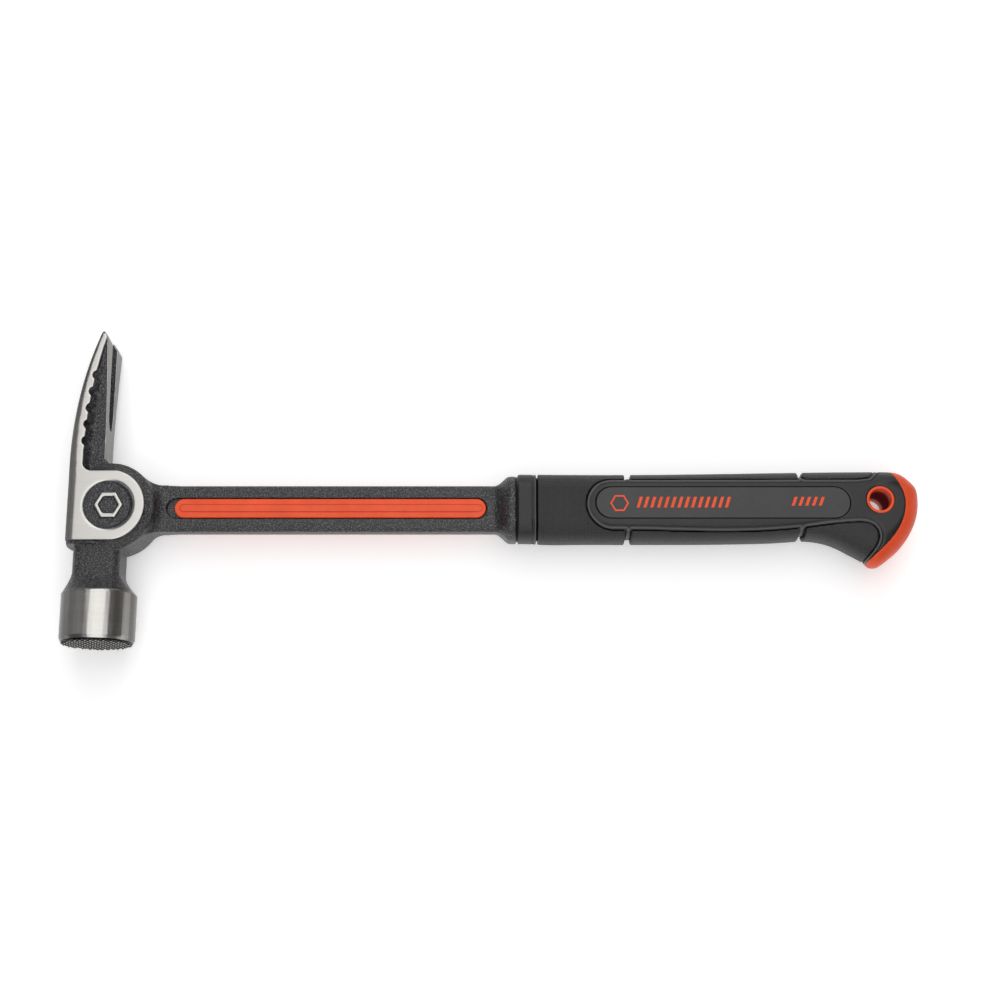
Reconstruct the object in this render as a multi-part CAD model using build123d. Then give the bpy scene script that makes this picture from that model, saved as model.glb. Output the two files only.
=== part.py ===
"""Claw hammer: one forged steel head, shank and tang with a moulded two-material grip.

Design axes, in millimetres: the poll's axis crosses the shank's axis at the origin, +X runs along
the handle towards the butt, +Y towards the claw, +Z out of the cheek. place() moves every piece to
the part's own frame, whose origin is the middle of the bounding box's underside.
"""

import math
import os

from build123d import *

# ---- head, striking end ----
POLL_R = 18.2
POLL_RIM_Y = -43.0
POLL_FACE_Y = -66.0
POLL_CHAMFER = 1.6
TOOTH_PITCH = 2.35
TOOTH_DEPTH = 1.1
TOOTH_TIP_Y = -67.7
NECK_X = (-12.3, 10.9)
NECK_HALF_Z = 11.4
NECK_CORNER_R = 5.0
NECK_TOP_Y = -10.0
SKIRT_TOP_Y = -33.2
SKIRT_CURVE = 1.4

# ---- head, eye and cheeks ----
EYE = (5.0, -0.5)
EYE_R = 21.8
EYE_HALF_Z = 11.4
EYE_SLOPE = (17.0, 13.6)
EYE_EDGE_R = 1.3
EYE_END_X = 32.2
PLATEAU_R = 17.0
PLATEAU_HALF_Z = 14.4
PLATEAU_LOW_Y = -17.9
PLATEAU_HIGH_Y = 16.8
BLOCK_LOW_Y = -19.4
TOP_X = -15.8
TOP_CROWN = 1.0
CHEEK_EDGE_R = 4.6
RECESS_R = 12.8
RECESS_FLOOR_R = 10.6
RECESS_DEPTH = 1.3
HEX_ACROSS_FLATS = 12.4
HEX_WALL = 2.0

# ---- claw ----
CLAW_START_Y = 12.0
CLAW_TIP_Y = 88.5
CLAW_TIP_X = -1.6
CLAW_BEND = 2.28
CLAW_UNDER_X = 0.9
CLAW_ROOT_R = 4.6
TIP_HALF_Z = 17.0
TIP_CORNER_R = 4.5
TIP_BEVEL = (2.3, 4.2)
BLOCK_HALF_Z = 12.4
WEB_HALF_Z = 8.0
WEB_FLARE_Y = 30.0
WEB_FLARE = 1.6
STRIP_WIDTH = 7.4
STRIP_NARROWING = 4.0
STRIP_END_Y = 84.5
BITE_COUNT = 5
BITE_TOP_Y = 65.0
BITE_PITCH = 8.35
BITE_R = 2.4
SLOT_ROOT_Y = 40.6
SLOT_HALF = 5.4

# ---- shank ----
SHANK_HIGH = 11.6
SHANK_LOW = -11.8
SHANK_HALF_Z = 4.75
SHANK_EDGE_R = 2.3
SHANK_BLEND_R = 14.0
FLARE_R = 5.4
CHANNEL_X = (31.6, 189.2)
CHANNEL_HALF_Y = 5.2
CHANNEL_DEPTH = 1.9
INLAY_START_X = 35.6
INLAY_HALF_Y = 4.75
INLAY_Y = -0.1
INLAY_THICK = 2.0
INLAY_RIB_HALF_Y = 1.8
INLAY_RIB_RISE = 0.25
FLANGE_X = (192.0, 203.5)
FLANGE_HALF = (16.3, 12.4)
FLANGE_RIM = 2.8
FLANGE_SWEEP = 1.3

# ---- grip ----
GRIP_X = 204.4
COLLAR_END_X = 213.2
COLLAR_GROOVE = 0.9
COLLAR_GROOVE_DEPTH = 1.2
GRIP_HALF_Z = 13.4
GRIP_FULLNESS = 2.6
SIDE_FLAT = 0.93
SPINE_Y = 0.3
SPINE_END_X = 384.0
SKIN = 2.3
SIDE_SKIN = 1.7
FRAME_START_X = 237.4
FRAME_HIGH = 13.1
FRAME_LOW = -12.6
FRAME_NOSE = 13.0
NOTCHES_X = (258.2, 343.2)
NOTCH_WIDTH = 3.2
TOP_PAD_END_X = 379.6
PANEL_X = (242.6, 366.0)
PANEL_Y = 0.8
PANEL_HALF_Y = 7.6
PANEL_THICK = 1.6
PANEL_GAP = 0.35
HOLE = (381.0, 2.3)
HOLE_R = 5.35
LINER_R = 6.8

# ---- tang ----
TANG_HALF = (8.0, 3.0)
TANG_END_X = 366.0
TANG_HOLE_R = 4.0
TANG_HOLE_COUNT = 4
TANG_HOLE_FIRST_X = 232.0
TANG_HOLE_PITCH = 38.0

# ---- bounding box, which sets the part's origin ----
BUTT_X = 401.5
BOX_MIDDLE_X = (BUTT_X - POLL_R) / 2
BOX_MIDDLE_Y = (CLAW_TIP_Y + TOOTH_TIP_Y) / 2
FAR = 120.0


def place(shape):
    """Move a shape from the design axes to the part's own frame."""
    return Pos(-BOX_MIDDLE_X, -BOX_MIDDLE_Y, POLL_R) * shape


def slab(x_range, y_range, half_z):
    """A box given by its limits along X and Y, centred on the middle plane."""
    width = x_range[1] - x_range[0]
    height = y_range[1] - y_range[0]
    return Pos(sum(x_range) / 2, sum(y_range) / 2, 0) * Box(width, height, 2 * half_z)


def prism(sketch, half_z):
    """A plan outline extruded to both sides of the middle plane."""
    return extrude(sketch, amount=half_z, both=True)


# ---------------------------------------------------------------- head


def claw_share(y):
    """0 below the start of the claw's curve and 1 at its tip."""
    return max(0.0, (y - CLAW_START_Y) / (CLAW_TIP_Y - CLAW_START_Y))


def outer_x(y):
    """Outer curve of the claw in side view, which runs straight along the top of the head."""
    return TOP_X + (CLAW_TIP_X - TOP_X) * claw_share(y) ** CLAW_BEND


def cheek_z(y):
    """Half width of the head at the polished cheek, which flares towards the claw's tip."""
    return PLATEAU_HALF_Z + (TIP_HALF_Z - PLATEAU_HALF_Z) * claw_share(y)


def strip_x(y):
    """Inner edge of the polished strip along the claw, before its bites."""
    share = claw_share(y)
    return outer_x(y) + STRIP_WIDTH - STRIP_NARROWING * share**2


def head_section(y, half_z):
    """One section of the head across Y: crowned along the top, rounded at the cheeks."""
    x = outer_x(y)
    share = claw_share(y)
    radius = CHEEK_EDGE_R * (1 - 0.75 * share)
    crown = TOP_CROWN * (1 - share)
    lean = radius * math.sin(math.pi / 4)
    top = ThreePointArc((x, half_z - radius), (x - crown, 0), (x, radius - half_z))
    corner_mid = (x + radius - lean, half_z - radius + lean)
    upper = ThreePointArc((x + radius, half_z), corner_mid, (x, half_z - radius))
    lower = ThreePointArc(
        (x, radius - half_z), (corner_mid[0], -corner_mid[1]), (x + radius, -half_z)
    )
    back = Polyline(
        (x + radius, -half_z), (2 * EYE_R, -half_z), (2 * EYE_R, half_z), (x + radius, half_z)
    )
    across = Plane((0, y, 0), x_dir=(1, 0, 0), z_dir=(0, -1, 0))
    return across * make_face(upper + top + lower + back)


def web_z(y):
    """Half width of the claw's thin web, which widens to the full cheek at the tip."""
    share = max(0.0, (y - WEB_FLARE_Y) / (CLAW_TIP_Y - WEB_FLARE_Y))
    return WEB_HALF_Z + (TIP_HALF_Z - WEB_HALF_Z) * share**WEB_FLARE


def head_loft(block_half_z, half_z):
    """The head's envelope: a straight block behind the eye, then the claw by its half width."""
    straight = [head_section(y, block_half_z) for y in (BLOCK_LOW_Y, CLAW_START_Y)]
    curve_y = [CLAW_START_Y + share * (CLAW_TIP_Y + 1 - CLAW_START_Y) for share in SECTION_SHARES]
    curved = [head_section(y, half_z(y)) for y in curve_y]
    return loft(straight, ruled=True) + loft(curved)


SECTION_SHARES = (0.0, 0.2, 0.4, 0.55, 0.7, 0.85, 1.0)


def eye_and_shank_root():
    """The round eye with its concave sweep down to the thin shank, and the claw's web."""
    outline = Pos(*EYE) * Circle(EYE_R)
    shank_root = Pos(40, (SHANK_HIGH + SHANK_LOW) / 2) * Rectangle(60, SHANK_HIGH - SHANK_LOW)
    web = Pos(CLAW_UNDER_X / 2 - 4, 20) * Rectangle(CLAW_UNDER_X + 8, 40)
    outline = outline + shank_root + web
    corners = [v for v in outline.vertices() if is_inner_corner(v)]
    for corner in corners:
        radius = CLAW_ROOT_R if corner.X < EYE[0] else SHANK_BLEND_R
        nearest = outline.vertices().sort_by_distance(corner)[0]
        outline = fillet(nearest, radius)
    return prism(outline, FAR)


def is_inner_corner(vertex):
    """True where the eye's circle meets the shank or the claw's under side."""
    on_circle = abs(math.dist((vertex.X, vertex.Y), EYE) - EYE_R) < 0.05
    return on_circle and (vertex.X > EYE[0] or abs(vertex.X - CLAW_UNDER_X) < 0.05)


def eye_envelope():
    """Turned envelope about the eye's axis: full height at the eye, swept down to the shank."""
    profile = BuildLine(Plane.XZ)
    with profile:
        edge = EYE_R - EYE_EDGE_R
        Line((0, EYE_SLOPE[1]), EYE_SLOPE)
        Line(EYE_SLOPE, (edge, EYE_HALF_Z))
        RadiusArc((edge, EYE_HALF_Z), (EYE_R, EYE_HALF_Z - EYE_EDGE_R), EYE_EDGE_R)
        foot = (EYE_R + FLARE_R, SHANK_HALF_Z)
        wall_top = (EYE_R, SHANK_HALF_Z + FLARE_R)
        Line((EYE_R, EYE_HALF_Z - EYE_EDGE_R), wall_top)
        RadiusArc(wall_top, foot, -FLARE_R)
        Line(foot, (FAR, SHANK_HALF_Z))
        Line((FAR, SHANK_HALF_Z), (FAR, 0))
        Line((FAR, 0), (0, 0))
        Line((0, 0), (0, EYE_SLOPE[1]))
    half = revolve(make_face(profile.line), Axis.Z)
    return Pos(*EYE, 0) * (half + mirror(half, Plane.XY))


def cheek_outline():
    """Plan outline of the raised polished cheek: a round-ended plateau and the claw's strip."""
    left = TOP_X - 6
    height = PLATEAU_HIGH_Y - PLATEAU_LOW_Y
    middle_y = (PLATEAU_HIGH_Y + PLATEAU_LOW_Y) / 2
    disc = Pos(*EYE) * Circle(PLATEAU_R + 0.6)
    band = Pos(EYE[0], middle_y) * Rectangle(4 * EYE_R, height)
    plateau = (disc & band) + Pos((left + EYE[0]) / 2, middle_y) * Rectangle(EYE[0] - left, height)
    corner = plateau.vertices().sort_by_distance((left, PLATEAU_LOW_Y, 0))[0]
    plateau = fillet(corner, 8.5)
    inner_y = [PLATEAU_HIGH_Y - 1 + k * (STRIP_END_Y - PLATEAU_HIGH_Y + 1) / 7 for k in range(8)]
    inner = Spline(*[(strip_x(y), y) for y in inner_y])
    top_y = inner_y[-1]
    frame = Polyline(
        inner @ 1, (strip_x(top_y) + 1.2, CLAW_TIP_Y + 2), (left, CLAW_TIP_Y + 2),
        (left, inner_y[0]), inner @ 0,
    )
    strip = make_face(inner + frame)
    joined = plateau + strip
    inner_corner = joined.vertices().sort_by_distance((strip_x(17), PLATEAU_HIGH_Y, 0))[0]
    joined = fillet(inner_corner, 3.6)
    for index in range(BITE_COUNT):
        y = BITE_TOP_Y - index * BITE_PITCH
        joined = joined - Pos(strip_x(y) + 0.9, y) * Circle(BITE_R)
    return joined


def claw_slot():
    """Nail slot between the tines, open at the tip and rounded at its root."""
    side = Spline(
        (CLAW_TIP_Y + 4, SLOT_HALF), (66, SLOT_HALF - 0.1), (51, SLOT_HALF - 0.6),
        (SLOT_ROOT_Y + 2.2, SLOT_HALF - 2.1), (SLOT_ROOT_Y, 0),
        tangents=((-1, 0), (0, -1)),
    )
    other = mirror(side, Plane.XZ)
    mouth = Line(side @ 0, other @ 0)
    looking_along_x = Plane((0, 0, 0), x_dir=(0, 1, 0), z_dir=(1, 0, 0))
    return extrude(looking_along_x * make_face(side + other + mouth), amount=40, both=True)


def claw_end_trim():
    """Everything outside the rounded ends of the tines, and the bevel under the tip."""
    height = CLAW_TIP_Y + FAR
    ends = Pos(CLAW_TIP_Y - height / 2, 0) * Rectangle(height, 2 * TIP_HALF_Z + 1)
    tips = ends.vertices().group_by(Axis.X)[-1]
    ends = fillet(tips, TIP_CORNER_R)
    looking_along_x = Plane((0, 0, 0), x_dir=(0, 1, 0), z_dir=(1, 0, 0))
    keep = extrude(looking_along_x * ends, amount=FAR, both=True)
    depth, length = TIP_BEVEL
    bevel = make_face(
        Polyline(
            (CLAW_UNDER_X, CLAW_TIP_Y - length), (CLAW_UNDER_X - depth, CLAW_TIP_Y + 0.2),
            (CLAW_UNDER_X + 4, CLAW_TIP_Y + 0.2), (CLAW_UNDER_X, CLAW_TIP_Y - length),
        )
    )
    return keep - prism(bevel, FAR)


def poll_section(y, share):
    """One section of the neck's skirt, from the rounded neck at 0 to the round poll at 1."""
    grow = share**SKIRT_CURVE
    half_width = (NECK_X[1] - NECK_X[0]) / 2
    middle = sum(NECK_X) / 2 * (1 - grow)
    half_x = half_width + (POLL_R - half_width) * grow
    half_z = NECK_HALF_Z + (POLL_R - NECK_HALF_Z) * grow
    corner = NECK_CORNER_R + (POLL_R - 0.5 - NECK_CORNER_R) * grow
    across = Plane((middle, y, 0), x_dir=(1, 0, 0), z_dir=(0, -1, 0))
    return across * RectangleRounded(2 * half_x, 2 * half_z, corner)


def poll():
    """Striking poll: neck, flared skirt, round body and a cross-milled face."""
    neck = extrude(poll_section(NECK_TOP_Y, 0.0), amount=NECK_TOP_Y - SKIRT_TOP_Y)
    shares = (0.0, 0.2, 0.4, 0.6, 0.8, 1.0)
    skirt = loft([poll_section(SKIRT_TOP_Y + k * (POLL_RIM_Y - SKIRT_TOP_Y), k) for k in shares])
    chamfer_y = POLL_FACE_Y + POLL_CHAMFER
    face_r = POLL_R - POLL_CHAMFER
    half_plan = Polyline(
        (0, POLL_RIM_Y), (POLL_R, POLL_RIM_Y), (POLL_R, chamfer_y), (face_r, TOOTH_TIP_Y),
        (0, TOOTH_TIP_Y), (0, POLL_RIM_Y),
    )
    turned = revolve(make_face(half_plan), Axis.Y)
    return neck + skirt + (turned - face_grooves())


def face_grooves():
    """Two crossed families of vee grooves that leave a waffle of small pyramids."""
    half_pitch = TOOTH_PITCH / 2
    vee = make_face(
        Polyline(
            (-half_pitch, TOOTH_TIP_Y - 0.01), (0, TOOTH_TIP_Y + TOOTH_DEPTH),
            (half_pitch, TOOTH_TIP_Y - 0.01), (-half_pitch, TOOTH_TIP_Y - 0.01),
        )
    )
    groove = prism(vee, POLL_R)
    count = int(POLL_R / TOOTH_PITCH) + 1
    row = [Pos(index * TOOTH_PITCH, 0, 0) * groove for index in range(-count, count + 1)]
    return [Rot(0, angle, 0) * piece for angle in (45, -45) for piece in row]


def emblem_recess():
    """Round recess in one cheek, with a plain raised hexagon left standing in it."""
    bottom = PLATEAU_HALF_Z - RECESS_DEPTH
    cone = Cone(RECESS_FLOOR_R, RECESS_R, RECESS_DEPTH, align=(Align.CENTER, Align.CENTER, Align.MIN))
    outer_r = HEX_ACROSS_FLATS / math.sqrt(3)
    inner_r = (HEX_ACROSS_FLATS - 2 * HEX_WALL) / math.sqrt(3)
    ring = RegularPolygon(outer_r, 6) - RegularPolygon(inner_r, 6)
    return Pos(*EYE, bottom) * (cone - extrude(ring, amount=RECESS_DEPTH))


# ---------------------------------------------------------------- shank and tang


def shank_section(x, half_y, half_z, corner):
    """One section across the handle's axis."""
    middle = (SHANK_HIGH + SHANK_LOW) / 2
    across = Plane((x, middle, 0), x_dir=(0, 1, 0), z_dir=(1, 0, 0))
    return across * RectangleRounded(2 * half_y, 2 * half_z, corner)


def shank_bar():
    """Flat bar from the eye to the flange, and the flange that stops the grip."""
    half_y = (SHANK_HIGH - SHANK_LOW) / 2
    start, end = FLANGE_X
    run_in = [
        shank_section(EYE_END_X - 4, half_y, SHANK_HALF_Z, 0.5),
        shank_section(EYE_END_X + 6, half_y, SHANK_HALF_Z, SHANK_EDGE_R),
    ]
    bar = loft(run_in, ruled=True)
    bar = bar + extrude(run_in[1], amount=start - EYE_END_X - 6)
    wide_y, wide_z = FLANGE_HALF
    sweep = []
    for share in (0.0, 0.2, 0.4, 0.6, 0.8, 1.0):
        x = start + share * (end - FLANGE_RIM - start)
        eased = share**FLANGE_SWEEP
        grow = eased * eased * (3 - 2 * eased)
        half_height = half_y + (wide_y - half_y) * grow
        half_thick = SHANK_HALF_Z + (wide_z - SHANK_HALF_Z) * grow
        corner = SHANK_EDGE_R + (0.78 * half_thick - SHANK_EDGE_R) * share
        sweep.append(shank_section(x, half_height, half_thick, corner))
    swell = loft(sweep)
    rim = extrude(sweep[-1], amount=FLANGE_RIM)
    rim = fillet(rim.edges().group_by(Axis.X)[-1], 0.8)
    return bar + swell + rim


def channel(side):
    """Shallow round-ended channel along one face of the shank."""
    start, end = CHANNEL_X
    outline = SlotOverall(end - start, 2 * CHANNEL_HALF_Y)
    depth = CHANNEL_DEPTH + 1
    floor = side * (SHANK_HALF_Z - CHANNEL_DEPTH + depth / 2)
    return Pos((start + end) / 2, INLAY_Y, floor) * extrude(outline, amount=depth / 2, both=True)


def tang():
    """Flat tang inside the grip, with holes that lock the moulding to it."""
    half_y, half_z = TANG_HALF
    start = FLANGE_X[1] - 2
    bar = slab((start, TANG_END_X), (SPINE_Y - half_y, SPINE_Y + half_y), half_z)
    bar = fillet(bar.edges().filter_by(Axis.Z).group_by(Axis.X)[-1], 6.0)
    for index in range(TANG_HOLE_COUNT):
        x = TANG_HOLE_FIRST_X + index * TANG_HOLE_PITCH
        bar = bar - Pos(x, SPINE_Y, 0) * Cylinder(TANG_HOLE_R, 4 * half_z)
    return bar


def forging():
    """The one-piece forging: claw, eye, poll, shank, flange and tang."""
    plan = eye_and_shank_root()
    block = slab((TOP_X - 8, CLAW_UNDER_X), (BLOCK_LOW_Y, CLAW_TIP_Y + 1), FAR)
    base = head_loft(BLOCK_HALF_Z, web_z) & block
    raised = head_loft(PLATEAU_HALF_Z, cheek_z) & prism(cheek_outline(), FAR)
    eye = eye_envelope() & plan & slab((TOP_X + 3, EYE_END_X), (-60, 60), FAR)
    head = base + eye + raised
    head = head & claw_end_trim()
    head = head - claw_slot()
    body = head + poll() + shank_bar() + tang()
    for side in (1, -1):
        body = body - channel(side)
    body = body - emblem_recess() - mirror(emblem_recess(), Plane.XY)
    return body


def inlay(side):
    """Coloured strip bonded into one channel, with a low rib along its middle."""
    end = CHANNEL_X[1] - 0.5
    middle = (INLAY_START_X + end) / 2
    length = end - INLAY_START_X
    strip = extrude(SlotOverall(length, 2 * INLAY_HALF_Y), amount=INLAY_THICK)
    strip = fillet(strip.edges().group_by(Axis.Z)[-1], 0.6)
    rib = SlotOverall(length - 6, 2 * INLAY_RIB_HALF_Y)
    strip = strip + Pos(0, 0, INLAY_THICK) * extrude(rib, amount=INLAY_RIB_RISE)
    floor = SHANK_HALF_Z - CHANNEL_DEPTH
    strip = Pos(middle, INLAY_Y, floor) * strip
    return strip if side > 0 else mirror(strip, Plane.XY)


# ---------------------------------------------------------------- grip


def grip_outline():
    """Closed side-view outline of the grip, from the collar round the butt and its hook."""
    start = GRIP_X - 20
    top = Spline((start, 17.4), (250, 17.1), (320, 17.9), (384, 18.6), tangents=((1, 0), (1, 0)))
    crown = Spline(top @ 1, (393.4, 17.1), (399.0, 12.4), (BUTT_X, 4.0), tangents=((1, 0), (0, -1)))
    back = Spline(crown @ 1, (400.2, -5.2), (392.3, -19.2), (382.0, -28.0), tangents=((0, -1), (-1, -0.7)))
    tip = Spline(back @ 1, (378.2, -29.1), (375.6, -27.6), tangents=((-1, -0.7), (-0.5, 1)))
    hook = Spline(
        tip @ 1, (371.4, -24.5), (361.0, -18.8), (348.5, -15.5), (330.0, -16.2),
        tangents=((-0.5, 1), (-1, -0.04)),
    )
    belly = Spline(hook @ 1, (270.0, -17.0), (start, -17.0), tangents=((-1, -0.04), (-1, 0)))
    return [top, crown, back, tip, hook, belly, Line(belly @ 1, top @ 0)]


SAMPLES = (11, 8, 9, 5, 8, 9, 3)


def outline_points():
    """Points along the outline, closer together round the butt and the hook."""
    points = []
    for edge, count in zip(grip_outline(), SAMPLES):
        points += [edge @ (index / count) for index in range(count)]
    return points


LEVELS = (0.0, 0.3, 0.55, 0.75, 0.9, 1.0)


def grip_level(points, z, half_z, skin):
    """The outline at one height, drawn in towards the spine as the side curves over."""
    reach = abs(z) / half_z * SIDE_FLAT
    scale = (1 - reach**GRIP_FULLNESS) ** (1 / GRIP_FULLNESS)
    ring = []
    for point in points:
        spine = Vector(min(point.X, SPINE_END_X), SPINE_Y, 0)
        out = point - spine
        length = out.length
        ring.append(spine + out * ((length - skin) / length * scale) + Vector(0, 0, z))
    return make_face(Spline(*ring, periodic=True))


def grip_body(half_z, skin, start_x=GRIP_X):
    """Solid of the whole grip from start_x on, drawn in by skin all round."""
    points = outline_points()
    heights = [-level * half_z for level in reversed(LEVELS[1:])]
    heights += [level * half_z for level in LEVELS]
    solid = loft([grip_level(points, z, half_z, skin) for z in heights])
    return solid & slab((start_x, BUTT_X + 5), (-60, 60), FAR)


def hard_frame():
    """Plan region where the hard core shows between the soft pads."""
    nose = FRAME_START_X + FRAME_NOSE
    middle = (FRAME_HIGH + FRAME_LOW) / 2
    front = ThreePointArc(
        (nose, FRAME_HIGH), (FRAME_START_X, middle), (nose, FRAME_LOW)
    )
    bottom = Spline(
        front @ 1, (330, FRAME_LOW), (346, -11.2), (367, -9.2), (377.6, -11.4), (379.2, -16.5),
        (373.5, -26.0), (370.0, -34.0), tangents=((1, 0), (-0.5, -1)),
    )
    rest = Polyline(
        bottom @ 1, (BUTT_X + 20, -40), (BUTT_X + 20, 40), (TOP_PAD_END_X, 40),
        (TOP_PAD_END_X, 17.4), (TOP_PAD_END_X - 3.4, FRAME_HIGH + 0.8), (370, FRAME_HIGH), front @ 0,
    )
    return make_face(front + bottom + rest)


def butt_region():
    """Plan region of the coloured butt cap, behind its curved inner border."""
    border = Spline(
        (384.0, 26.0), (389.2, 14.0), (393.0, 2.3), (390.2, -10.0), (379.6, -22.6), (368.0, -33.0),
    )
    rest = Polyline(border @ 1, (BUTT_X + 20, -40), (BUTT_X + 20, 40), border @ 0)
    return make_face(border + rest)


def panel_plate(grow, thick):
    """Round-ended plate set into one side of the frame."""
    start, end = PANEL_X
    outline = SlotOverall(end - start + 2 * grow, 2 * (PANEL_HALF_Y + grow))
    plate = extrude(outline, amount=thick)
    return Pos((start + end) / 2, PANEL_Y, GRIP_HALF_Z - thick) * plate


def grip_pieces(steel):
    """Split the grip into its core, soft pads, side panels, hole liner and butt cap."""
    whole = grip_body(GRIP_HALF_Z, 0.0)
    inner = grip_body(GRIP_HALF_Z - SIDE_SKIN, SKIN)
    frame = prism(hard_frame(), FAR)
    soft = whole & slab((COLLAR_END_X + COLLAR_GROOVE, TOP_PAD_END_X + 2), (-60, 60), FAR)
    soft = soft - frame - inner
    for x in NOTCHES_X:
        gap = (x - NOTCH_WIDTH / 2, x + NOTCH_WIDTH / 2)
        soft = soft - slab(gap, (-60, 60), FAR)
    pads = soft.solids()
    cap = (whole & prism(butt_region(), FAR)) - butt_core(inner)
    bore = Pos(*HOLE, 0) * Cylinder(HOLE_R, 2 * FAR)
    liner_blank = Pos(*HOLE, 0) * Cylinder(LINER_R, 2 * GRIP_HALF_Z - 0.4)
    liner = liner_blank - bore
    core = whole
    for pad in pads:
        core = core - pad
    core = core - cap - Pos(*HOLE, 0) * Cylinder(LINER_R, 2 * FAR)
    groove = (COLLAR_END_X, COLLAR_END_X + COLLAR_GROOVE)
    drawn_in = grip_body(GRIP_HALF_Z - COLLAR_GROOVE_DEPTH, COLLAR_GROOVE_DEPTH, FLANGE_X[1])
    core = core - (slab(groove, (-60, 60), FAR) - drawn_in)
    core = core + (drawn_in & slab((FLANGE_X[1], GRIP_X + 1), (-60, 60), FAR))
    front = panel_plate(0.0, PANEL_THICK)
    pocket = panel_plate(PANEL_GAP, PANEL_THICK)
    core = core - pocket - mirror(pocket, Plane.XY)
    for x in NOTCHES_X:
        gap = (x - NOTCH_WIDTH / 2, x + NOTCH_WIDTH / 2)
        core = core - (slab(gap, (-60, 60), FAR) - frame - inner)
    core = core - steel
    return core, pads, cap, liner, front


def butt_core(inner):
    """The part of the core that the butt cap is moulded over."""
    return inner & slab((GRIP_X, BUTT_X), (-60, 60), FAR)


def name_pad(pad):
    """Name a soft pad by where it lies."""
    centre = pad.center()
    if centre.X < NOTCHES_X[0]:
        return "front_sleeve"
    side = "top" if centre.Y > SPINE_Y else "bottom"
    if centre.X < NOTCHES_X[1]:
        return f"{side}_pad"
    return "rear_top_pad" if side == "top" else "hook_pad"


def main():
    os.makedirs("parts", exist_ok=True)
    steel = forging()
    core, pads, cap, liner, panel = grip_pieces(steel)
    pieces = {"forged_body": steel, "grip_core": core, "butt_cap": cap, "hang_hole_liner": liner}
    pieces["inlay_front"] = inlay(1)
    pieces["inlay_back"] = inlay(-1)
    pieces["panel_front"] = panel
    pieces["panel_back"] = mirror(panel, Plane.XY)
    for pad in pads:
        pieces[name_pad(pad)] = pad
    for name, piece in pieces.items():
        export_step(place(piece), f"parts/{name}.step")


main()
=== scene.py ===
"""Claw hammer: a one-piece steel forging with coloured inlays and a two-material grip.

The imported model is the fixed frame. Each operator dresses one piece or one group of like pieces.
Sizes in the property groups are in metres, and the helper shapes are worked out in millimetres on
the hammer's own axes: the poll's axis crosses the shank's axis at the origin, X runs along the
handle to the butt, Y to the claw's tip and Z out of the cheek.
"""

import math

import bmesh
import bpy
import numpy as np
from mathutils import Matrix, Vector
from mathutils.bvhtree import BVHTree


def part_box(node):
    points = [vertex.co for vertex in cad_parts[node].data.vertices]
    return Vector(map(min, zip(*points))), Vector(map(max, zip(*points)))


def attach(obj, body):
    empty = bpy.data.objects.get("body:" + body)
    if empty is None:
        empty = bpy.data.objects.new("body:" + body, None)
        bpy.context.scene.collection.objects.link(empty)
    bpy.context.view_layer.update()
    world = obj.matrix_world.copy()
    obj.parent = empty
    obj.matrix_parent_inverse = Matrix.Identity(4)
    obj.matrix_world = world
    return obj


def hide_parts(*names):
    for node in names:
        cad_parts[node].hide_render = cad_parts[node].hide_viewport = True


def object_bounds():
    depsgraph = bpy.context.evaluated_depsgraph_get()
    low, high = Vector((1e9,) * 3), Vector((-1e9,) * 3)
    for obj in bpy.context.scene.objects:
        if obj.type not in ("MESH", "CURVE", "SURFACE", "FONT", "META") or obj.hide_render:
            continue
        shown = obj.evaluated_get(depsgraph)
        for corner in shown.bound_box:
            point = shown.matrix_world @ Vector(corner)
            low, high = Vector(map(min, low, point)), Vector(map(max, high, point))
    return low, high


bl_info = {
    "name": "Claw Hammer",
    "version": (1, 0, 0),
    "blender": (4, 5, 0),
    "location": "3D View > Sidebar > Hammer",
    "description": "Dresses the packed claw hammer with finished surfaces",
    "category": "Object",
}

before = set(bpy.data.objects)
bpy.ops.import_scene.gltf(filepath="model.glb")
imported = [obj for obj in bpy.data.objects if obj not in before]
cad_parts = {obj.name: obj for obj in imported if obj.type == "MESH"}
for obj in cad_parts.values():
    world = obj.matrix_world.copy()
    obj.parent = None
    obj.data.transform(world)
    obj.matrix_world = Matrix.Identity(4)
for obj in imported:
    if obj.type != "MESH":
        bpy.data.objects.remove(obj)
CAD_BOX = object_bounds()

MM = 0.001
POLL_R = 18.2
CLAW_TIP_Y = 88.5
AXES = Vector((CAD_BOX[0].x + POLL_R * MM, CAD_BOX[1].y - CLAW_TIP_Y * MM, POLL_R * MM))


# ------------------------------------------------------------------ settings


class HammerSizes(bpy.types.PropertyGroup):
    """Sizes of the finish: mesh detail, bead grooves, marks and the camera's place."""

    steel_voxel: bpy.props.FloatProperty(
        name="Forging detail", description="Grid of the forging's fine mesh",
        default=0.00036, unit="LENGTH",
    )
    grip_voxel: bpy.props.FloatProperty(
        name="Grip detail", description="Grid of the moulded pieces' fine mesh",
        default=0.00045, unit="LENGTH",
    )
    liner_voxel: bpy.props.FloatProperty(
        name="Liner detail", description="Grid of the hole liner's fine mesh",
        default=0.0003, unit="LENGTH",
    )
    bead_depth: bpy.props.FloatProperty(
        name="Bead groove depth", description="How deep the two grooves beside the bead go",
        default=0.00045, unit="LENGTH",
    )
    mark_height: bpy.props.FloatProperty(
        name="Mark height", description="How far the marks stand out of the side panel",
        default=0.00016, unit="LENGTH",
    )
    camera_distance: bpy.props.FloatProperty(
        name="Camera distance", description="From the camera to the point that it looks at",
        default=0.817, unit="LENGTH",
    )
    camera_tilt: bpy.props.FloatProperty(
        name="Camera tilt", description="How far the camera leans from straight overhead",
        default=math.radians(13.6), subtype="ANGLE",
    )


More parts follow.
